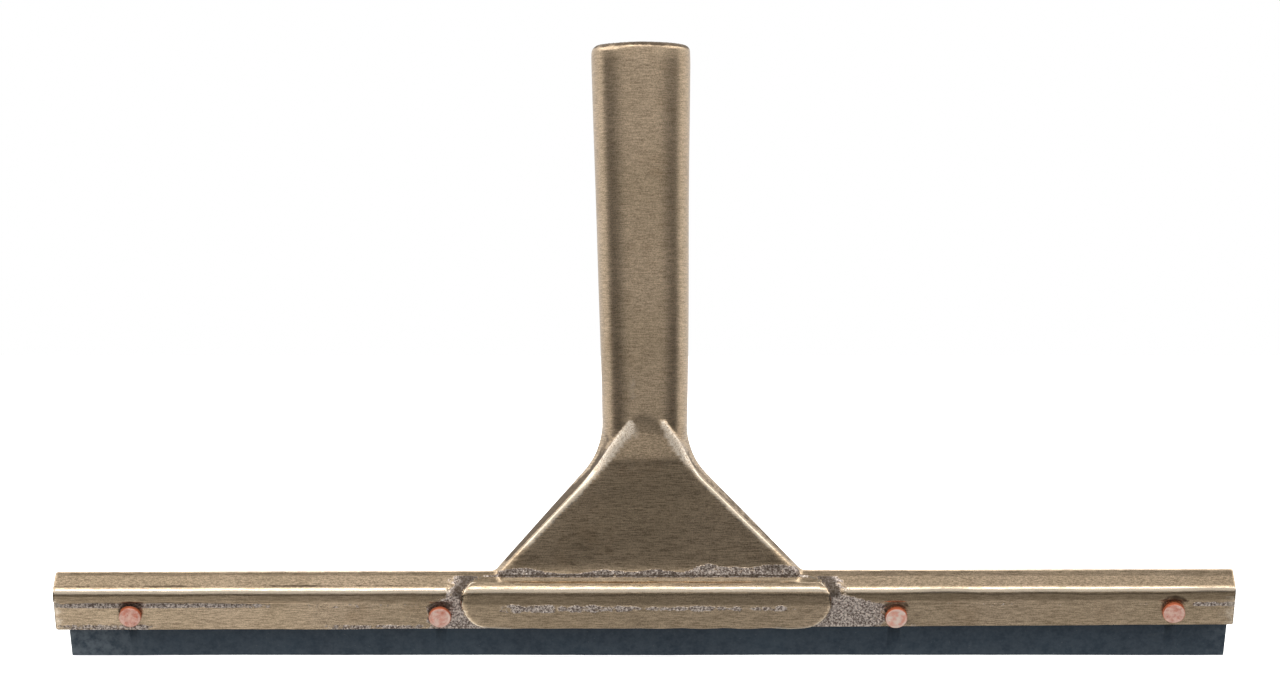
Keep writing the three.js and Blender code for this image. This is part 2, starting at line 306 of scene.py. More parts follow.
def holder(x, y, z):
    z = z - holder_lift(x)
    up = up_flange(y, z)
    back = back_flange(y, z)
    solid = cut(holder_section(x, y, z), back - HOLDER_BACK, EDGE_ROUND)
    seat = np.maximum(FLANGE - back, up - SEAT_HEIGHT)
    solid = cut(solid, -seat, 0.2)
    end_round = EDGE_ROUND * (1 + smoothstep(150, -150, x))
    solid = cut(solid, np.abs(x) - HALF_LENGTH, end_round)
    for place, height in RIVETS:
        hole = np.hypot(x - place, up - height) - RIVET_HOLE
        solid = np.maximum(solid, -hole)
    return solid


def boss_outline(x, z):
    """How far a place is outside the boss's rounded outline, as seen from the front."""
    radius = (BOSS_TOP - BOSS_FOOT) / 2
    along = np.maximum(np.abs(x - BOSS_CENTRE) - BOSS_HALF_LENGTH + radius, 0)
    outline = np.hypot(along, z - (BOSS_TOP + BOSS_FOOT) / 2) - radius
    return outline + 0.18 * waves([x, z], [9, 14], 6)


def boss(x, y, z):
    solid = cut(boss_section(x, y, z), boss_outline(x, z), 0.6)
    return np.maximum(solid, back_flange(y, z) - FLANGE / 2)


def web_reach(z, flare):
    """How far the web's flank is from the middle, and how fast that grows downwards."""
    side = HANDLE_FOOT_RADIUS - 0.2
    drop = np.maximum(WEB_CURVE_TOP - z, 0)
    curve_drop = WEB_CURVE * math.sin(flare)
    on_curve = np.minimum(drop, curve_drop)
    below = np.minimum(drop - on_curve, WEB_CURVE_TOP - curve_drop - LEG_TOP)
    root = np.sqrt(WEB_CURVE ** 2 - on_curve ** 2)
    return side + WEB_CURVE - root + below * math.tan(flare), on_curve / root


def flank(outwards, y, z, flare, low_draft):
    reach, slope = web_reach(z, flare)
    draft = low_draft + (WEB_DRAFT_TOP - low_draft) * smoothstep(62, HANDLE_FOOT, z)
    drafted = draft * (np.hypot(y, 1.5) - 1.5)
    return (outwards - reach + drafted) / np.sqrt(1 + slope ** 2 + draft ** 2)


def right_flank(x, y, z):
    return flank(x, y, z, WEB_FLARE_RIGHT, WEB_DRAFT_RIGHT)


def left_flank(x, y, z):
    return flank(-x, y, z, WEB_FLARE_LEFT, WEB_DRAFT_LEFT)


def lip(x, y, z):
    """The web's front corners, which run straight up to two tips with a notch between them. Both
    divisors turn a sloped difference into about the distance from its plane."""
    drop = LIP_TOP - z
    low_right = LIP_RIGHT_LOW_SHIFT + LIP_RIGHT_LOW_SLOPE * drop
    left = LIP_LEFT + LIP_LEFT_SLOPE * drop
    right = LIP_RIGHT + np.minimum(LIP_RIGHT_SLOPE * drop, low_right)
    sideways = np.maximum(-x - left, x - right) / 1.25
    notch = (z - NOTCH_FOOT - NOTCH_SLOPE * np.abs(x - NOTCH_X)) / 1.28
    return np.maximum.reduce([sideways, notch, y - LIP_REAR, LIP_BOTTOM - z, z - LIP_TOP - 1])


def handle_axis(z):
    """The axis's x at a height, and how far up the handle that is, from 0 to 1."""
    share = np.maximum(z - HANDLE_FOOT, 0) / (TOP - HANDLE_FOOT)
    return HANDLE_FOOT_X + (SOCKET_MOUTH[0] - HANDLE_FOOT_X) * share, share


def handle_radius(share):
    return HANDLE_FOOT_RADIUS + (HANDLE_TOP_RADIUS - HANDLE_FOOT_RADIUS) * share


def handle(x, y, z):
    """The tube, which narrows a little under its rim and is fuller half way up on its right."""
    centre, share = handle_axis(z)
    radius = handle_radius(share) - 0.06 + 0.06 * waves([x, y, z], [23, 38, 61], 8)
    radius = radius - 0.05 * softplus(z - (TOP - 5), 0.7)
    radius = radius + 0.4 * bump_at(z, 108, 34) * smoothstep(2, 12, x)
    tube = np.hypot(x - centre, y) - radius
    return cut(np.maximum(tube, HANDLE_BOTTOM - z), z - TOP, RIM_ROUND + 0.8 * smoothstep(0, -12, x))


def socket(x, y, z):
    """The tapered bore, with a widened mouth and a rounded bottom."""
    centre, _ = handle_axis(z)
    share = (z - SOCKET_FLOOR) / (TOP - SOCKET_FLOOR)
    radius = SOCKET_FOOT_RADIUS + (SOCKET_RADIUS - SOCKET_FOOT_RADIUS) * share
    mouth = 0.5 * smoothstep(TOP - 1, TOP, z)
    bottom = SOCKET_FLOOR - 4 - z
    return cut(np.hypot(x - centre, y) - radius - mouth, bottom, SOCKET_BOTTOM_ROUND)


def web_front(x, y, z):
    """The web's ground front: nearly flat, with the scoop at its top and a fillet at its foot."""
    scoop_foot = SCOOP_FOOT + 0.5 * waves([x], [21, 34], 10) + 0.02 * x
    depth = WEB_FRONT + WEB_FRONT_SLOPE * (z - WEB_LEVEL)
    depth = depth + SCOOP_SLOPE * softplus(z - scoop_foot, 0.8)
    fillet = 0.25 * softplus(30.5 - z, 1.0)
    return -y - depth - fillet - 0.06 * waves([x, z], [17, 29], 9)


def web_rear(y, z):
    depth = WEB_REAR + WEB_REAR_SLOPE * (z - WEB_LEVEL) + softplus(z - REAR_SCOOP_FOOT, 1.0)
    return y - depth + 0.75 * softplus(34 - z, 2)


def web_blank(x, y, z):
    """The web before its front and rear are ground."""
    gable = z + WEB_GABLE_SLOPE * np.abs(y) - WEB_GABLE_TOP
    gable = gable / math.hypot(1, WEB_GABLE_SLOPE)
    blank = np.maximum.reduce([right_flank(x, y, z), left_flank(x, y, z), gable, WEB_BOTTOM - z])
    return join(blank, lip(x, y, z), 0.5 + smoothstep(60, 70, z))


def web_bevel(x, y, z):
    """The hand-ground bevel of the web's front edges. It faces more to the front than to the side, is
    set deepest beside the scoop, and is deeper on the left."""
    tip = 0.35 * smoothstep(74, 80, z)
    left = 0.3 + 1.05 * smoothstep(50, 65, z) - tip
    right = 0.26 + 0.9 * smoothstep(60, 73, z) - tip
    depth = right + (left - right) * smoothstep(5, -5, x)
    sideways = web_blank(x, y, z) * math.sin(BEVEL_TURN)
    return sideways + web_front(x, y, z) * math.cos(BEVEL_TURN) + depth


def web_and_handle(x, y, z):
    """The web, ground and bevelled, joined to the handle, which the scoop cuts as well."""
    front = web_front(x, y, z)
    web = cut(web_blank(x, y, z), front, WEB_EDGE_ROUND)
    web = cut(web, web_bevel(x, y, z), WEB_EDGE_ROUND)
    solid = join(web, handle(x, y, z), 0.5 + 3 * smoothstep(80, 66, z))
    solid = cut(solid, front, WEB_EDGE_ROUND + 1.2 * smoothstep(76, 79, z))
    return cut(solid, web_rear(y, z), 0.9 + 1.4 * smoothstep(54, 74, z))


def casting(x, y, z):
    solid = join(holder(x, y, z), boss(x, y, z), 0.25)
    flare = smoothstep(42, 52, np.abs(x))
    solid = join(solid, web_and_handle(x, y, z), 0.5 + 0.4 * flare)
    return cut(solid, -socket(x, y, z), 0.6)


# ---- From a field to a mesh ------------------------------------------------------------------------


def graded(*stops):
    """Grid lines through (position, step) stops: each step holds up to the next position."""
    lines = []
    for (start, step), (end, _) in zip(stops, stops[1:]):
        count = max(1, round((end - start) / step))
        lines.append(np.linspace(start, end, count, endpoint=False))
    lines.append([stops[-1][0]])
    return np.concatenate(lines)


def surface_net(field, xs, ys, zs):
    """A quad mesh of a field's zero surface on a graded grid. Each cell that the surface passes gets
    one point: the mean of where the surface crosses the cell's edges, moved onto the surface."""
    lines = (xs, ys, zs)
    values = field(*np.meshgrid(xs, ys, zs, indexing="ij"))
    inside = values < 0
    counts = np.zeros([n - 1 for n in inside.shape], dtype=np.int8)
    for corner in np.ndindex(2, 2, 2):
        counts += inside[tuple(slice(c, n - 1 + c) for c, n in zip(corner, inside.shape))]
    cells = np.argwhere((counts > 0) & (counts < 8))
    number = np.full(counts.shape, -1, dtype=np.int64)
    number[tuple(cells.T)] = np.arange(len(cells))

    totals = np.zeros((len(cells), 3))
    hits = np.zeros(len(cells))
    quads = []
    for axis in range(3):
        near = tuple(slice(None, -1) if k == axis else slice(None) for k in range(3))
        far = tuple(slice(1, None) if k == axis else slice(None) for k in range(3))
        b, c = (axis + 1) % 3, (axis + 2) % 3
        for leaving in (True, False):
            crossing = (inside[near] == leaving) & (inside[far] != leaving)
            at = np.argwhere(crossing)
            before, after = values[near][crossing], values[far][crossing]
            places = np.stack([line[i] for line, i in zip(lines, at.T)], axis=1)
            places[:, axis] += np.diff(lines[axis])[at[:, axis]] * before / (before - after)
            ring = []
            for shift_b, shift_c in ((-1, -1), (0, -1), (0, 0), (-1, 0)):
                cell = at.copy()
                cell[:, b] += shift_b
                cell[:, c] += shift_c
                ring.append(number[tuple(cell.T)])
                np.add.at(totals, ring[-1], places)
                np.add.at(hits, ring[-1], 1)
            quads.append(np.stack(ring if leaving else ring[::-1], axis=1))

    start = totals / hits[:, None]
    reach = np.stack([np.diff(line)[i] / 2 for line, i in zip(lines, cells.T)], axis=1)
    points = start
    for _ in range(4):
        distance, normal = field_and_normal(field, points)
        points = np.clip(points - distance[:, None] * normal, start - reach, start + reach)
    return points, np.concatenate(quads)


def field_and_normal(field, points, reach=0.04):
    x, y, z = points.T
    distance = field(x, y, z)
    slope = np.stack([
        field(x + reach, y, z) - field(x - reach, y, z),
        field(x, y + reach, z) - field(x, y - reach, z),
        field(x, y, z + reach) - field(x, y, z - reach),
    ], axis=1) / (2 * reach)
    length = np.maximum(np.linalg.norm(slope, axis=1), 0.3)
    return distance / length, slope / length[:, None]


def new_mesh(name, points_mm, faces, materials):
    """A smooth-shaded object from points in millimetres."""
    mesh = bpy.data.meshes.new(name)
    mesh.from_pydata((np.asarray(points_mm) * M).tolist(), [], [tuple(map(int, f)) for f in faces])
    mesh.update()
    mesh.shade_smooth()
    for material in materials:
        mesh.materials.append(material)
    piece = bpy.data.objects.new(name, mesh)
    bpy.context.scene.collection.objects.link(piece)
    return piece


def paint(piece, name, values):
    """Stores one number for each point, for the material to read."""
    attribute = piece.data.attributes.new(name, "FLOAT", "POINT")
    attribute.data.foreach_set("value", np.ascontiguousarray(values, dtype=np.float32))


# ---- Materials -------------------------------------------------------------------------------------


class Nodes:
    """Short calls for the shader nodes that the materials and the world share."""

    def __init__(self, tree):
        self.tree = tree

    def add(self, kind, **settings):
        node = self.tree.nodes.new(kind)
        for key, value in settings.items():
            setattr(node, key, value)
        return node

    def feed(self, socket, value):
        if isinstance(value, bpy.types.NodeSocket):
            self.tree.links.new(value, socket)
        else:
            socket.default_value = value

    def coordinates(self, kind):
        return self.add("ShaderNodeTexCoord").outputs[kind]

    def math(self, operation, *values):
        node = self.add("ShaderNodeMath", operation=operation)
        for socket, value in zip(node.inputs, values):
            self.feed(socket, value)
        return node.outputs[0]

    def remap(self, value, low, high, to_low=0.0, to_high=1.0):
        """Value from low to high, as a smooth step between to_low and to_high."""
        node = self.add("ShaderNodeMapRange", interpolation_type="SMOOTHSTEP")
        for socket, number in zip(node.inputs, (value, low, high, to_low, to_high)):
            self.feed(socket, number)
        return node.outputs["Result"]


class Finish(Nodes):
    """A new material's nodes. Its noises are fixed to the object."""

    def __init__(self, name):
        self.material = bpy.data.materials.new(name)
        self.material.use_nodes = True
        super().__init__(self.material.node_tree)
        self.shader = self.tree.nodes["Principled BSDF"]
        self.place = self.coordinates("Object")

    def stretched(self, scale, turn):
        node = self.add("ShaderNodeMapping")
        self.feed(node.inputs["Vector"], self.place)
        self.feed(node.inputs["Scale"], scale)
        self.feed(node.inputs["Rotation"], turn)
        return node.outputs["Vector"]

    def noise(self, scale, detail=3.0, roughness=0.55, stretch=None, turn=(0, 0, 0)):
        """Noise with scale waves a metre, drawn out by stretch along axes that may be turned."""
        node = self.add("ShaderNodeTexNoise")
        self.feed(node.inputs["Vector"], self.stretched(stretch, turn) if stretch else self.place)
        self.feed(node.inputs["Scale"], scale)
        self.feed(node.inputs["Detail"], detail)
        self.feed(node.inputs["Roughness"], roughness)
        return node.outputs["Fac"]

    def attribute(self, name):
        return self.add("ShaderNodeAttribute", attribute_name=name).outputs["Fac"]

    def blend(self, share, a, b):
        node = self.add("ShaderNodeMix", data_type="RGBA")
        self.feed(node.inputs["Factor"], share)
        self.feed(node.inputs[6], a)
        self.feed(node.inputs[7], b)
        return node.outputs[2]

    def blend_number(self, share, a, b):
        node = self.add("ShaderNodeMix", data_type="FLOAT")
        self.feed(node.inputs["Factor"], share)
        self.feed(node.inputs[2], a)
        self.feed(node.inputs[3], b)
        return node.outputs[0]

    def bump(self, height, depth_mm, below=None):
        """A bump whose full height is depth_mm, on top of another bump."""
        node = self.add("ShaderNodeBump")
        self.feed(node.inputs["Distance"], depth_mm * M)
        self.feed(node.inputs["Height"], height)
        if below is not None:
            self.feed(node.inputs["Normal"], below)
        return node.outputs["Normal"]

    def finish(self, **sockets):
        for name, value in sockets.items():
            self.feed(self.shader.inputs[name.replace("_", " ")], value)
        return self.material


def colour(red, green, blue):
    """A linear colour from the usual 0 to 255 numbers."""
    def linear(value):
        value /= 255
        return value / 12.92 if value <= 0.04045 else ((value + 0.055) / 1.055) ** 2.4
    return (linear(red), linear(green), linear(blue), 1.0)


def cast_bronze():
    """Ground and brushed bronze, with the marks that casting_marks paints and a noise breaks up:
    foundry skin, oxide and wear, and painted shade and highlights.
    """
    n = Finish("cast_bronze")
    uneven = n.math("MULTIPLY", n.noise(420, 4, 0.6), 0.9)
    skin = n.remap(n.math("ADD", n.attribute("skin"), uneven), 0.9, 1.03)
    oxide_and_shade = n.remap(n.math("ADD", n.attribute("oxide_and_shade"), uneven), 0.76, 1.2)
    wear_and_highlight = n.remap(n.math("ADD", n.attribute("wear_and_highlight"), uneven), 0.85, 1.2)
    grain = n.attribute("grain")

    tint = n.remap(n.noise(26, 3), 0.35, 0.68)
    ground = n.blend(tint, colour(224, 199, 166), colour(236, 210, 178))
    stain = n.remap(n.noise(75, 4, 0.65), 0.52, 0.74, 0, 0.4)
    ground = n.blend(stain, ground, colour(186, 156, 122))
    lines = n.remap(n.noise(2900, 3, 0.65, stretch=(0.09, 0.09, 1)), 0.36, 0.64)
    swirls = n.remap(n.noise(2300, 3, 0.65, stretch=(0.35, 1, 1), turn=(0, 0.9, 0)), 0.36, 0.64)
    fine = n.blend_number(grain, lines, swirls)
    speckle = n.remap(n.noise(2400, 2, 0.6), 0.38, 0.62)
    texture = n.math("ADD", n.math("MULTIPLY", fine, 0.6), n.math("MULTIPLY", speckle, 0.4))
    strength = n.math("MULTIPLY", texture, n.blend_number(grain, 0.82, 0.85))
    ground = n.blend(strength, ground, colour(126, 108, 87))
    # Painted shade darkens the facet under the ridge.
    ground = n.blend(n.attribute("shade"), ground, colour(136, 118, 94))
    sparkle = n.noise(1450, 4, 0.7)
    raw = n.blend(n.remap(sparkle, 0.4, 0.62), colour(118, 103, 95), colour(242, 228, 216))
    base = n.blend(skin, ground, raw)
    # Wear lightens the base at the burr and the holder's ends; along the ridges, the web's edges and
    # the handle it is a painted highlight.
    base = n.blend(n.math("MULTIPLY", wear_and_highlight, 0.6), base, colour(236, 222, 202))
    # Coarse grinding at the top of the web's bevel, painted near white as a highlight, with painted
    # glints from the noise.
    grit_and_highlight = n.attribute("grit_and_highlight")
    glint = n.remap(n.noise(2300, 3, 0.7), 0.36, 0.56)
    base = n.blend(grit_and_highlight, base, n.blend(glint, colour(208, 186, 160), colour(255, 242, 224)))
    # This dark colour is oxide, and also painted shade in corners, under edges, on the web's flanks, on
    # the rim and round the rivets.
    base = n.blend(n.math("MULTIPLY", oxide_and_shade, 0.85), base, colour(78, 66, 54))

    scratches = n.remap(n.noise(700, 2, 0.5, stretch=(0.05, 0.05, 1)), 0.62, 0.75)
    pits = n.remap(n.noise(1700, 2, 0.6), 0.7, 0.8)
    normal = n.bump(fine, 0.009)
    normal = n.bump(scratches, -0.008, normal)
    normal = n.bump(n.math("MULTIPLY", pits, n.math("SUBTRACT", 1.0, skin)), -0.006, normal)
    normal = n.bump(n.math("MULTIPLY", n.noise(1300, 4, 0.7), skin), 0.36, normal)
    normal = n.bump(n.math("MULTIPLY", glint, grit_and_highlight), 0.06, normal)

    roughness = n.blend_number(n.noise(60, 3), 0.24, 0.32)
    roughness = n.blend_number(grain, roughness, 0.4)
    roughness = n.blend_number(wear_and_highlight, roughness, 0.15)
    roughness = n.blend_number(grit_and_highlight, roughness, 0.52)
    roughness = n.blend_number(skin, roughness, 0.5)
    roughness = n.blend_number(oxide_and_shade, roughness, 0.6)
    n.shader.inputs["Metallic"].default_value = 1.0
    return n.finish(Base_Color=base, Roughness=roughness, Normal=normal)


def strip_bronze():
    n = Finish("strip_bronze")
    tone = n.noise(60, 4, 0.6, stretch=(0.25, 1, 1))
    base = n.blend(n.remap(tone, 0.35, 0.7), colour(198, 174, 136), colour(150, 124, 92))
    rolling = n.noise(1600, 2, 0.5, stretch=(0.02, 1, 1))
    normal = n.bump(rolling, 0.012)
    normal = n.bump(n.remap(n.noise(500, 3, 0.6), 0.6, 0.75), -0.03, normal)
    roughness = n.blend_number(tone, 0.3, 0.5)
    n.shader.inputs["Metallic"].default_value = 1.0
    return n.finish(Base_Color=base, Roughness=roughness, Normal=normal)


def rubber():
    """Blue-black rubber with a chalky bloom, dust and a few light scuffs."""
    n = Finish("rubber")
    cloud = n.remap(n.noise(38, 4, 0.6), 0.38, 0.72)
    base = n.blend(cloud, colour(38, 53, 67), colour(54, 69, 82))
    fine = n.remap(n.noise(900, 4, 0.7), 0.35, 0.65, 0, 0.35)
    base = n.blend(fine, base, colour(72, 86, 98))
    bloom = n.math("MULTIPLY", n.attribute("bloom"), n.remap(n.noise(260, 4, 0.7), 0.3, 0.65))
    base = n.blend(bloom, base, colour(110, 120, 128))
    dust = n.remap(n.noise(1500, 1, 0.4), 0.72, 0.8, 0, 0.5)
    base = n.blend(dust, base, colour(110, 116, 120))
    scuff = n.remap(n.noise(300, 2, 0.5, stretch=(0.2, 1, 1)), 0.66, 0.8, 0, 0.3)
    base = n.blend(scuff, base, colour(80, 88, 95))
    normal = n.bump(n.noise(1800, 3, 0.6), 0.025)
    normal = n.bump(n.noise(90, 2), 0.08, normal)
    roughness = n.blend_number(cloud, 0.5, 0.66)
    n.shader.inputs["Specular IOR Level"].default_value = 0.3
    return n.finish(Base_Color=base, Roughness=roughness, Normal=normal)


def copper():
    """Hammered copper: dull pink faces, and a deeper orange on the heads' sides."""
    n = Finish("copper")
    patch = n.remap(n.noise(520, 3, 0.6), 0.36, 0.66)
    mottle = n.remap(n.noise(1150, 3, 0.65), 0.35, 0.65)
    base = n.blend(patch, colour(214, 120, 94), colour(255, 206, 186))
    pale_copper = n.blend(patch, colour(255, 186, 162), colour(255, 238, 226))
    # Some heads are blended to a paler copper, by the share listed in HEADS.
    base = n.blend(n.attribute("pale_copper"), base, pale_copper)
    base = n.blend(n.math("MULTIPLY", mottle, 0.35), base, colour(255, 222, 206))
    base = n.blend(n.attribute("ring"), base, colour(255, 226, 210))
    base = n.blend(n.attribute("side"), base, colour(206, 112, 76))
    specks = n.remap(n.noise(2600, 2, 0.6), 0.68, 0.76, 0, 0.7)
    base = n.blend(specks, base, colour(110, 66, 56))
    normal = n.bump(n.noise(1500, 3, 0.6), 0.09)
    roughness = n.blend_number(patch, 0.4, 0.54)
    n.shader.inputs["Metallic"].default_value = 0.4
    return n.finish(Base_Color=base, Roughness=roughness, Normal=normal)


# ---- The casting -----------------------------------------------------------------------------------


WEB_GRID_HALF = 67


def casting_grid():
    """The grid's lines along each axis, closest together at the web, the holder's ends, the rivets'
    holes, the holder's height and the handle's rim."""
    web = ((-WEB_GRID_HALF, 0.75), (WEB_GRID_HALF, 1.3))
    left_end = ((-HALF_LENGTH - 1.5, 0.6), (-HALF_LENGTH + 4, 1.3))
    right_end = ((HALF_LENGTH - 4, 0.6), (HALF_LENGTH + 1.5, 0.6))
    stops = [*web, *left_end, *right_end]
    for place, _ in RIVETS:
        if abs(place) > WEB_GRID_HALF:
            stops += [(place - 4, 0.7), (place + 4, 1.3)]
    xs = graded(*sorted(stops))
    ys = graded((-18.5, 0.6), (18.5, 0.6))
    zs = graded((8.5, 0.5), (34, 0.75), (90, 1.2), (TOP - 6, 0.5), (TOP + 1.6, 0.5))
    return xs, ys, zs


def window(value, low, high, soft):
    return smoothstep(low - soft, low + soft, value) * smoothstep(high + soft, high - soft, value)


def strongest(*masks):
    return np.clip(np.maximum.reduce(np.broadcast_arrays(*masks)), 0, 1)


def stretches(x, table):
    """One mask from a table of (strength, low end, high end, softness) along the blade."""
    return strongest(*[top * window(x, low, high, soft) for top, low, high, soft in table])


# Where the foundry's skin was left along the holder, under the step and at the foot.
SKIN_UNDER_STEP = (
    (0.66, -205, -125, 18), (0.44, -125, -70, 12), (0.4, 96, 180, 10), (0.7, 186, 205, 3),
    (0.8, -205, -150, 14),
)
SKIN_AT_FOOT = ((0.6, -205, -166, 8), (0.56, -116, -60, 16), (0.5, 60, 100, 10))

# Along the web's foot the skin was left in lobes: each one's x, half-width and height.
LOBES = (
    (-42, 9, 2.2), (-13, 8, 1.6), (4, 7, 1.7), (21, 6, 3.6), (31, 6, 2.0), (43, 8, 3.2), (51, 5, 1.6),
)
LOBE_FOOT = 29.3
LOBE_REACH = 54


class Spots:
    """Where the casting's points lie: on which of its parts, and how far from their edges."""

    def __init__(self, x, y, z):
        self.x, self.y, self.z = x, y, z
        self.level = z - holder_lift(x)
        self.up = up_flange(y, self.level)
        self.back = back_flange(y, self.level)
        self.past_boss = boss_outline(x, z)
        self.on_holder = (y < 0) & (z < 30.6) & (self.back < 3) | (y < -2) & (z < 28.5)
        self.on_flange = self.on_holder & (self.past_boss > 0)
        self.on_boss = self.on_holder & (self.past_boss <= 0)
        self.on_web = (y < -3) & (z > 28) & (np.abs(x) < 56)
        self.near_boss = smoothstep(7, 2, self.past_boss) * smoothstep(20, 22.5, z)

        lobes = sum(height * bump_at(x, centre, width) for centre, width, height in LOBES)
        top = LOBE_FOOT + lobes
        self.in_lobe = smoothstep(top + 0.3, top - 0.3, z) * self.on_web

        past_edge = smoothstep(-1.6, -2.2, web_front(x, y, z))
        past_edge = past_edge * smoothstep(84, 76, z) * smoothstep(31, 35, z)
        self.on_left_flank = smoothstep(-0.8, -0.2, left_flank(x, y, z)) * past_edge
        self.on_right_flank = smoothstep(-0.8, -0.2, right_flank(x, y, z)) * past_edge


def skin_mask(at):
    """Where the foundry's skin was left: beside the boss and in patches on the holder, in a streak on
    the boss, along the web's foot, in the socket and under the blade."""
    right_reach = 5 + 14 * smoothstep(23, 18, at.z)
    left_reach = 5 + 7 * smoothstep(22, 17, at.z)
    reach = np.where(at.x > 0, right_reach, left_reach)
    beside_boss = 0.74 * smoothstep(reach + 9, reach - 5, at.past_boss)
    under_step = window(at.up, STEP_HEIGHT - 2.5, STEP_HEIGHT - 0.5, 0.5)
    under_step = under_step * stretches(at.x, SKIN_UNDER_STEP)
    foot = window(at.up, -2, 1.6, 0.9) * stretches(at.x, SKIN_AT_FOOT)

    half_streak = 1.1 + 0.6 * smoothstep(0, -30, at.x) + 0.5 * waves([at.x], [7, 13, 29], 14)
    streak = window(at.up, 8.7 - half_streak, 8.7 + half_streak, 0.7) * window(at.x, -52, 54, 9)
    streak = streak * (0.62 + 0.12 * waves([at.x], [5, 9], 17))

    centre, share = handle_axis(at.z)
    in_handle = np.hypot(at.x - centre, at.y) < handle_radius(share) - 1.5
    in_socket = in_handle & (at.z > SOCKET_FLOOR - 2) & (at.z < TOP - 0.6)
    in_seat = (at.back > FLANGE - 0.3) & (at.up < SEAT_HEIGHT + 0.3) & (at.z < 28)
    return strongest(
        np.where(at.on_flange, strongest(beside_boss, under_step, foot), 0),
        np.where(at.on_boss, streak, 0),
        np.where(at.on_web, strongest(0.68 * at.in_lobe, 0.35 * at.on_left_flank), 0),
        np.where(in_socket | in_seat, 0.9, 0),
    )


def oxide_and_shade_mask(at):
    """Where the base is darkened: by real oxide on the unground patches beside the boss and on the
    web's lobes, and by painted shade in the web's foot corner, under the step, round the boss's
    outline, on the web's flanks, on the rim and round the rivets' heads, with a painted shadow above
    each head. Two more dark lines run along the holder's top and above its ridge."""
    # A dark line above the ridge along the holder's left part.
    line = window(at.x, -202, -66, 4) * (0.6 + 0.4 * waves([at.x], [37, 61], 16))
    ridge_line = bump_at(at.level, 25.5, 0.4) * line
    # Painted shade in a line under the step, darkest towards the left end.
    step_strength = 0.2 + 0.6 * smoothstep(-110, -160, at.x)
    step_line = bump_at(at.up, STEP_HEIGHT - 0.1, 0.4) * step_strength
    # A dark line along the holder's top edge.
    top_line = 0.85 * bump_at(at.level, 30.0, 0.5)
    # Painted shade round the boss's outline.
    outline = 0.5 * bump_at(at.past_boss, 0.5, 0.5)
    on_flange = strongest(0.75 * at.near_boss, ridge_line, step_line, top_line, outline)

    # Painted shade in the corner at the web's foot.
    corner = 0.9 * bump_at(at.z, 28.9, 0.45) * (np.abs(at.x) < LOBE_REACH) * (at.y < -4)
    # Painted shade on the handle's rim.
    rim = 0.75 * window(at.z, TOP - 1.6, TOP + 1, 0.6)
    # Painted shade on the web's flanks, heavier on the left, halved near the top and fading out towards
    # the back.
    middle = -3.5 * smoothstep(52, 66, at.z)
    flanks = strongest(0.85 * at.on_left_flank, 0.6 * at.on_right_flank)
    flanks = flanks * (1 - 0.5 * smoothstep(66, 76, at.z))
    flanks = flanks * smoothstep(middle + 2.5, middle - 1.5, at.y)
    lobes = 0.5 * at.in_lobe * (np.abs(at.x) < LOBE_REACH)
    oxide_and_shade = strongest(np.where(at.on_flange, on_flange, 0), corner, rim, flanks, lobes)

    in_front = at.back < 2
    for place, height in RIVETS:
        right, above = at.x - place, at.up - height
        apart = np.hypot(right, above)
        # Painted shade in a ring round each head, stronger above it, and a painted shadow above the
        # head.
        ring = bump_at(apart, 4.1, 0.6) * (0.45 + 0.5 * smoothstep(-1, 4, above - 0.5 * right))
        shadow = 0.7 * bump_at(apart, 5.2, 1.1) * smoothstep(1.5, 4, above)
        oxide_and_shade = strongest(oxide_and_shade, shadow * in_front, ring * in_front)
    return oxide_and_shade


def bevel_mask(at):
    """The web's ground bevel, without its foot and without the notch between its tips."""
    from_bevel = np.abs(web_bevel(at.x, at.y, at.z))
    bevel = smoothstep(0.75, 0.4, from_bevel) * (at.y < -4)
    bevel = bevel * smoothstep(0.7, 0.3, web_blank(at.x, at.y, at.z))
    bevel = bevel * smoothstep(33, 42, at.z) * smoothstep(83, 81.5, at.z)
    beside_notch = smoothstep(3.9, 5.0, np.abs(at.x - TIP_MIDDLE))
    return bevel * np.maximum(beside_notch, at.z < 71)


def wear_and_highlight_mask(at, web_edge):
    """Where the base is made lighter and smoother: real wear on the boss's burr and the holder's ends;
    the ridges and the web's edges, polished and also painted lighter as a highlight; and a painted
    sheen on the handle above them."""
    burr = 0.9 * bump_at(at.past_boss, -0.3, 0.35) * (np.abs(at.x) > 45) * at.on_boss
    ends = strongest(smoothstep(192, 202, at.x), smoothstep(-194, -202, at.x))
    ends = 0.6 * ends * (at.up < 12) * at.on_holder
    # Painted highlight, with a polish, along the boss's and the holder's ridges.
    boss_ridge = window(at.level, 23.2, 24.9, 0.4) * at.on_holder * (at.past_boss < -1)
    ridge = window(at.level, 22.9, 24.5, 0.4) * at.on_flange * (1 - at.near_boss)
    # Painted sheen: a lighter patch low on the handle's front, standing in for a highlight.
    sheen = 0.5 * bump_at(at.x, -4.5, 4.5) * bump_at(at.z, 92, 9) * (at.y < 0) * (at.z > 82)
    return strongest(burr, ends, boss_ridge, ridge, web_edge, sheen)


def grain_mask(at):
    """Where the grinding is a fine grain instead of a brushing: the holder's slope, the web's scoop
    and, faintly, the handle."""
    scoop = window(at.z, SCOOP_FOOT, 82, 1.0) * smoothstep(-1.5, 0, web_front(at.x, at.y, at.z))
    slope = np.where(at.on_flange, smoothstep(24.2, 25.4, at.level), 0)
    return strongest(slope, 0.9 * scoop * (at.y < -6), 0.3 * smoothstep(80, 86, at.z))


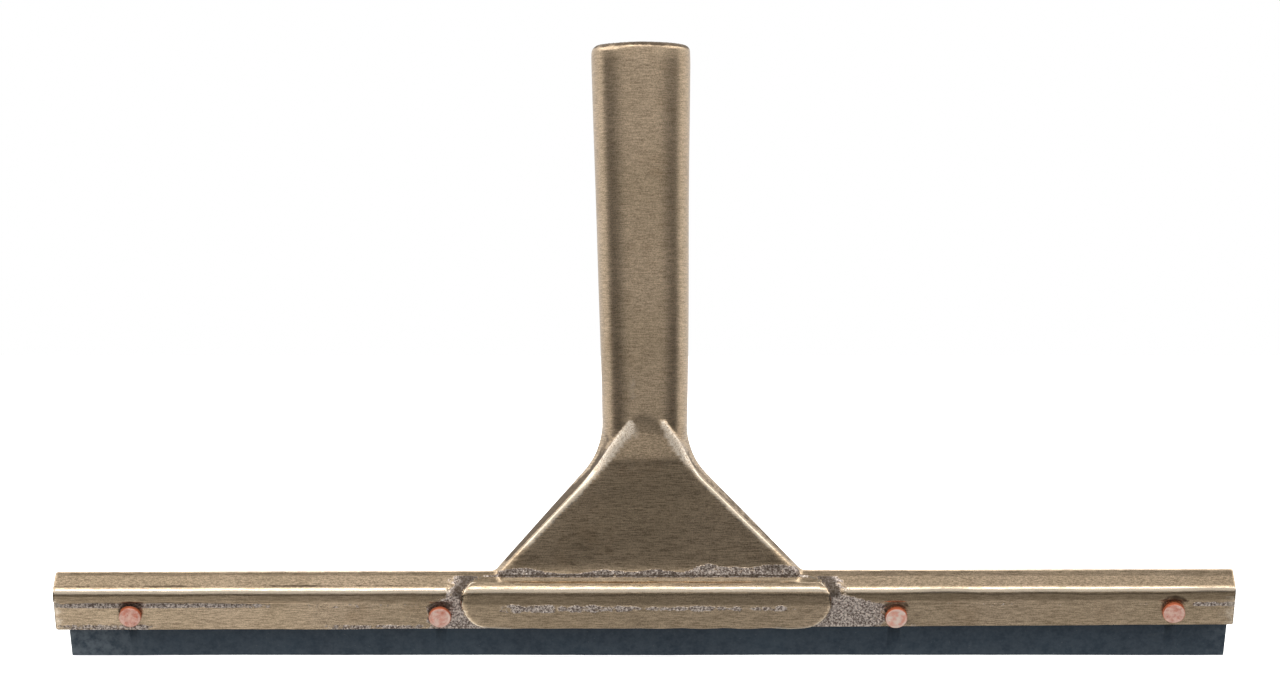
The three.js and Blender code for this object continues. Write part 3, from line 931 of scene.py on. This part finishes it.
def casting_marks(x, y, z):
    """The masks that the casting's material reads, by name. Grit is the coarse grinding at the top of
    the web's bevel, painted near white as a highlight, and shade is painted shade on the facet under
    the ridge."""
    at = Spots(x, y, z)
    bevel = bevel_mask(at)
    near_top = smoothstep(62, 69, z)
    facet = smoothstep(STEP_HEIGHT - 0.3, STEP_HEIGHT + 0.3, at.up) * smoothstep(23.4, 22.4, at.level)
    return {
        "skin": skin_mask(at),
        "oxide_and_shade": oxide_and_shade_mask(at),
        # The web's bevel below the scoop gets a painted highlight.
        "wear_and_highlight": wear_and_highlight_mask(at, bevel * (1 - near_top)),
        "grain": grain_mask(at),
        # Painted shade on the facet under the ridge.
        "shade": 0.42 * facet * (at.on_flange | at.on_boss),
        # A painted highlight on the coarse grinding at the top of the web's bevel.
        "grit_and_highlight": bevel * near_top,
    }


def make_casting(material):
    points, quads = surface_net(casting, *casting_grid())
    piece = new_mesh("casting", points, quads, [material])
    for name, mask in casting_marks(*points.T).items():
        paint(piece, name, mask)
    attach(piece, ROOT)
    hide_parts("cast_body")
    return piece


# ---- Blade and strip -------------------------------------------------------------------------------
# These and the rivets are made in the flange's frame: x, up its face, and forward out of it.


def in_flange_frame(points):
    matrix = np.array(flange_matrix())
    return np.asarray(points) @ matrix[:3, :3].T + matrix[:3, 3]


def rounded_rectangle(low, high, rear, front, radius):
    """(up, forward) points round a section, anticlockwise as seen along x."""
    points = []
    corners = ((high, front, 1, 1), (low, front, -1, 1), (low, rear, -1, -1), (high, rear, 1, -1))
    for quarter, (up, forward, up_side, forward_side) in enumerate(corners):
        for step in range(4):
            turn = math.radians(90 * quarter + 30 * step)
            points.append((
                up - radius * up_side + radius * math.cos(turn),
                forward - radius * forward_side + radius * math.sin(turn),
            ))
    return points


def plate(name, material, xs, heights, rear, front, radius, slant=0.0):
    """A long plate through sections at xs. heights(x) gives its lower and upper edges there, and slant
    moves its lower corners in by so much for each millimetre below the flange's foot."""
    rings = []
    last = len(xs) - 1
    for i, x in enumerate(xs):
        low, high = heights(x)
        inset = radius * (1 - math.sin(math.pi / 2 * min(i, last - i, 3) / 3))
        end = math.copysign(min(1, abs(x) / 150) ** 4, x)
        section = rounded_rectangle(low + inset, high - inset, rear + inset, front - inset, radius)
        rings.append([(x + end * slant * min(u, 0), u, f) for u, f in section])
    count = len(rings[0])
    faces = [tuple(range(count)), tuple(reversed(range(last * count, (last + 1) * count)))]
    for s in range(last):
        for i in range(count):
            j = (i + 1) % count
            faces.append((s * count + i, (s + 1) * count + i, (s + 1) * count + j, s * count + j))
    piece = new_mesh(name, in_flange_frame([p for ring in rings for p in ring]), faces, [material])
    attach(piece, ROOT)
    return piece


def stations(low, high, step, radius):
    """Places along a plate, close together where its ends are rounded."""
    ends = [0, 0.3 * radius, 0.7 * radius, radius]
    middle = np.linspace(low + radius, high - radius, round((high - low) / step))[1:-1]
    return [low + e for e in ends] + list(middle) + [high - e for e in reversed(ends)]


BLADE_CLEARANCE = 0.08  # from the flange
STRIP_CLEARANCE = 0.05  # from the blade
BLADE_ROUND = 0.25
STRIP_ROUND = 0.4
STRIP_FOOT = 0.9  # up the flange


def make_blade(material):
    low, high = box_mm("rubber_blade")
    foot = float((WIPING_EDGE[1:] - FOOT) @ UP)

    def heights(x):
        wave = 0.28 * waves([x], [95, 150, 260], 21) + 0.05 * waves([x], [14, 23], 22)
        return foot + 0.12 + 0.15 * smoothstep(-185, -130, x) + 0.4 * wave, SEAT_HEIGHT - GAP

    xs = stations(low[0], high[0], 1.6, BLADE_ROUND)
    rear, front = -FLANGE - GAP - BLADE, -FLANGE - BLADE_CLEARANCE
    piece = plate("blade", material, xs, heights, rear, front, BLADE_ROUND, slant=0.03)
    x = np.array([v.co.x for v in piece.data.vertices]) / M
    z = np.array([v.co.z for v in piece.data.vertices]) / M
    bloom = 0.75 * smoothstep(-165, -195, x) + 0.3 * smoothstep(190, 200, x)
    paint(piece, "bloom", bloom + 0.25 * smoothstep(1.5, 0.3, z))
    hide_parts("rubber_blade")
    return piece


def make_strip(material):
    low, high = box_mm("clamp_strip")

    def heights(x):
        uneven = 0.08 * waves([x], [40, 90], 24)
        return STRIP_FOOT + uneven, SEAT_HEIGHT - GAP

    xs = stations(low[0], high[0], 2.0, STRIP_ROUND)
    front = -FLANGE - GAP - BLADE - STRIP_CLEARANCE
    piece = plate("strip", material, xs, heights, -STACK, front, STRIP_ROUND)
    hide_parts("clamp_strip")
    return piece


# ---- Rivets ----------------------------------------------------------------------------------------

HEAD_RADIUS = 3.8
HEAD_FACE = 1.85
SHANK_RADIUS = 2.0
TAIL_RADIUS = 3.4
TAIL_FACE = -STACK - 1.6
RIVET_SIDES = 72
DRILL_SIDES = 32
DRILL_LENGTH = 40.0
DRILL_ROOM = 0.15  # between a shank and its hole
# Each head as it was hammered: whether the tool left a ring, how much its face leans along x and up,
# and how far its copper is blended to a paler colour.
HEADS = (
    (False, 0.01, 0.02, 0.1),
    (True, -0.01, 0.0, 0.35),
    (True, 0.0, -0.01, 0.8),
    (False, 0.04, 0.06, 0.2),
)


def rivet_profile():
    """(radius, forward) rings from the middle of the head's face to the middle of the tail's face."""
    head = [(HEAD_RADIUS * r, HEAD_FACE) for r in np.linspace(0.02, 0.9, 16)]
    head += [(HEAD_RADIUS - 0.3 + 0.3 * math.sin(a), HEAD_FACE - 0.3 + 0.3 * math.cos(a))
             for a in np.radians([15, 35, 60, 90])]
    head += [(HEAD_RADIUS, f) for f in np.linspace(HEAD_FACE - 0.7, 0.35, 4)]
    head += [(HEAD_RADIUS - 0.15, 0.12), (SHANK_RADIUS, 0.1)]
    shank = [(SHANK_RADIUS, f) for f in (-FLANGE, -STACK - 0.02)]
    dome = [(TAIL_RADIUS * math.cos(a), -STACK - 0.25 + (TAIL_FACE + STACK + 0.25) * math.sin(a))
            for a in np.radians([0, 15, 32, 50, 66, 78, 86, 89.5])]
    return head + shank + [(TAIL_RADIUS - 0.15, -STACK - 0.02)] + dome


def make_rivet(number, material):
    place, height = RIVETS[number - 1]
    ringed, lean_x, lean_up, pale_copper = HEADS[number - 1]
    profile = np.array(rivet_profile())
    sides = RIVET_SIDES
    turns = np.arange(sides) * 2 * math.pi / sides
    radius, forward = (np.repeat(column, sides) for column in profile.T)
    turn = np.tile(turns, len(profile))
    rim = waves([np.cos(turn) * 3, np.sin(turn) * 3], [3.4, 5.5], 30 + number)
    radius = radius * (1 + 0.022 * rim * smoothstep(2.2, 3.4, radius))
    x, up = radius * np.cos(turn), radius * np.sin(turn)
    on_face = smoothstep(0.9, 1.5, forward)
    dents = 0.07 * waves([x, up], [2.1, 3.1, 4.6], 40 + number)
    crown = 0.05 * (1 - (radius / HEAD_RADIUS) ** 2)
    ring_mark = 0.14 * bump_at(radius, 2.85, 0.22) if ringed else 0
    forward = forward + on_face * (dents + crown - ring_mark + lean_x * x + lean_up * up)
    on_tail = smoothstep(-STACK - 0.3, TAIL_FACE, forward)
    forward = forward + on_tail * (0.22 * smoothstep(0, 3.4, TAIL_RADIUS - radius) + 1.4 * dents)

    points = [(place + a, height + b, c) for a, b, c in zip(x, up, forward)]
    faces = []
    for s in range(len(profile) - 1):
        for i in range(sides):
            j = (i + 1) % sides
            faces.append((s * sides + i, (s + 1) * sides + i, (s + 1) * sides + j, s * sides + j))
    faces.append(tuple(range(sides)))
    end = (len(profile) - 1) * sides
    faces.append(tuple(range(end + sides - 1, end - 1, -1)))
    piece = new_mesh(f"rivet_copper_{number}", in_flange_frame(points), faces, [material])
    side = smoothstep(HEAD_RADIUS - 0.25, HEAD_RADIUS - 0.05, radius) * smoothstep(-1, 0, forward)
    paint(piece, "side", side)
    paint(piece, "pale_copper", np.full(len(side), pale_copper))
    ring = (0.85 if ringed else 0.3) * bump_at(radius, 3.25, 0.3) * on_face
    paint(piece, "ring", ring * (0.6 + 0.4 * waves([x, up], [4, 7], 50 + number)))
    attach(piece, ROOT)
    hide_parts(f"rivet_{number}")
    return piece


def drill(piece):
    """Cuts a hole through a plate for each rivet's shank."""
    radius = (SHANK_RADIUS + DRILL_ROOM) * M
    length = DRILL_LENGTH * M
    for place, height in RIVETS:
        bpy.ops.mesh.primitive_cylinder_add(vertices=DRILL_SIDES, radius=radius, depth=length)
        drill_bit = bpy.context.object
        drill_bit.matrix_world = matrix_in_metres(Matrix.Translation((place, height, 0)))
        hole = piece.modifiers.new("hole", "BOOLEAN")
        hole.operation = "DIFFERENCE"
        hole.object = drill_bit
        bpy.context.view_layer.objects.active = piece
        bpy.ops.object.modifier_apply(modifier=hole.name)
        bpy.data.objects.remove(drill_bit)


def matrix_in_metres(local):
    matrix = flange_matrix() @ local
    matrix.translation = matrix.translation * M
    return matrix


# ---- Studio ----------------------------------------------------------------------------------------

VIEW_DISTANCE = 1.092
VIEW_WIDTH = 0.4402  # of the frame, at the handle's axis
VIEW_SHIFT = (-0.0014, 0.0013)  # right and up, from the object's middle
SENSOR = 36.0


def make_camera():
    low, high = (np.array(corner) for corner in CAD_BOX)
    data = bpy.data.cameras.new("camera")
    data.sensor_width = SENSOR
    data.lens = SENSOR * VIEW_DISTANCE / VIEW_WIDTH
    camera = bpy.data.objects.new("camera", data)
    middle = (low + high) / 2
    camera.location = (middle[0] + VIEW_SHIFT[0], -VIEW_DISTANCE, middle[2] + VIEW_SHIFT[1])
    camera.rotation_euler = (math.pi / 2, 0, 0)
    bpy.context.scene.collection.objects.link(camera)
    bpy.context.scene.camera = camera


def softbox(name, place, target, size, watts):
    data = bpy.data.lights.new(name, "AREA")
    data.shape = "RECTANGLE"
    data.size, data.size_y = size
    data.energy = watts
    lamp = bpy.data.objects.new(name, data)
    lamp.location = place
    lamp.rotation_euler = (Vector(target) - Vector(place)).to_track_quat("-Z", "Y").to_euler()
    bpy.context.scene.collection.objects.link(lamp)


# The tent's brightness at an elevation in degrees, straight ahead of the object.
TENT = (
    (-90, 0.27), (-55, 0.27), (-38, 0.2), (-18, 0.09), (-10, 0.12), (-5, 0.35), (2, 0.63), (12, 0.67),
    (26, 0.75), (36, 1.3), (42, 3.0), (52, 3.0), (58, 1.2), (65, 0.4), (90, 0.32),
)
TENT_PEAK = 3.0
WHITE = (1, 1, 1, 1)


def make_world():
    """A pale tent with its light overhead, dim round the camera and pale behind the object, and plain
    white where it is seen."""
    world = bpy.data.worlds.new("studio")
    bpy.context.scene.world = world
    world.use_nodes = True
    n = Nodes(world.node_tree)
    n.tree.nodes.clear()

    parts = n.add("ShaderNodeSeparateXYZ")
    n.feed(parts.inputs[0], n.coordinates("Generated"))
    right, away, above = parts.outputs
    ramp = n.add("ShaderNodeValToRGB")
    stops = ramp.color_ramp.elements
    for i, (elevation, brightness) in enumerate(TENT):
        place = (math.sin(math.radians(elevation)) + 1) / 2
        stop = stops[0] if i == 0 else stops[-1] if i == len(TENT) - 1 else stops.new(place)
        stop.position = place
        stop.color = (*[brightness / TENT_PEAK] * 3, 1)
    n.feed(ramp.inputs["Fac"], n.math("MULTIPLY_ADD", above, 0.5, 0.5))
    ahead = n.math("MULTIPLY", ramp.outputs["Color"], TENT_PEAK)
    aside = n.math("ABSOLUTE", right)

    # The lower half dims to both sides.
    dimmed = n.math("MULTIPLY", n.remap(aside, 0.64, 0.97, 0.0, 0.91), n.remap(above, 0.4, 0.15))
    ahead = n.math("MULTIPLY", ahead, n.math("SUBTRACT", 1.0, dimmed))

    # Far down, both sides glow, the left one more.
    low = n.remap(above, -0.45, -0.6)
    low_left = n.math("MULTIPLY", low, n.remap(right, -0.05, -0.2, 0.0, 0.8))
    low_right = n.math("MULTIPLY", low, n.remap(right, 0.06, 0.22, 0.0, 0.36))
    ahead = n.math("ADD", ahead, n.math("ADD", low_left, low_right))

    # The light overhead is weaker off the middle, and panels stand at both sides.
    off_middle = n.remap(aside, 0.36, 0.6)
    high_side = n.math("MULTIPLY", off_middle, n.remap(above, 0.4, 0.55, 0.0, 0.6))
    ahead = n.math("MULTIPLY", ahead, n.math("SUBTRACT", 1.0, high_side))
    beside = n.math("MULTIPLY", off_middle, n.remap(above, 0.2, 0.4, 0.0, 0.35))
    panel = n.math("MULTIPLY", n.remap(aside, 0.7, 0.86, 0.0, 1.7), n.remap(above, 0.2, 0.34))
    ahead = n.math("ADD", ahead, n.math("ADD", beside, panel))

    # Behind the object it is pale, most of all at its own level.
    level_behind = n.remap(n.math("ABSOLUTE", above), 0.12, 0.55, 0.88, 0.5)
    behind = n.math("MULTIPLY", n.remap(away, 0.1, 0.24), level_behind)
    tent = n.add("ShaderNodeBackground")
    tent.inputs["Color"].default_value = WHITE
    n.feed(tent.inputs["Strength"], n.math("MAXIMUM", ahead, behind))
    seen = n.add("ShaderNodeBackground")
    seen.inputs["Color"].default_value = WHITE
    chosen = n.add("ShaderNodeMixShader")
    n.feed(chosen.inputs["Fac"], n.add("ShaderNodeLightPath").outputs["Is Camera Ray"])
    n.feed(chosen.inputs[1], tent.outputs[0])
    n.feed(chosen.inputs[2], seen.outputs[0])
    n.feed(n.add("ShaderNodeOutputWorld").inputs["Surface"], chosen.outputs[0])


FLOOR_HALF = 40.0
FLOOR_DROP = 0.0002  # under the object


def make_floor():
    mesh = bpy.data.meshes.new("floor")
    half = FLOOR_HALF
    corners = [(-half, -half, 0), (half, -half, 0), (half, half, 0), (-half, half, 0)]
    mesh.from_pydata(corners, [], [(0, 1, 2, 3)])
    floor = bpy.data.objects.new("floor", mesh)
    floor.location.z = CAD_BOX[0][2] - FLOOR_DROP
    n = Finish("floor")
    n.shader.inputs["Roughness"].default_value = 0.9
    n.shader.inputs["Emission Color"].default_value = WHITE
    n.shader.inputs["Emission Strength"].default_value = 0.72
    tone = n.blend(n.noise(3, 2), colour(244, 244, 243), colour(250, 250, 249))
    mesh.materials.append(n.finish(Base_Color=tone))
    bpy.context.scene.collection.objects.link(floor)
    floor.visible_glossy = False
    floor.visible_diffuse = False


# ---- Making ----------------------------------------------------------------------------------------

bpy.context.scene.view_settings.view_transform = "Standard"
make_camera()
make_world()
softbox("key", place=(-0.45, -0.8, 1.25), target=(0, 0, 0.09), size=(0.9, 0.6), watts=3)
make_floor()
make_casting(cast_bronze())
blade = make_blade(rubber())
strip = make_strip(strip_bronze())
drill(blade)
drill(strip)
copper_finish = copper()
for rivet_number in RIVET_NUMBERS:
    make_rivet(rivet_number, copper_finish)
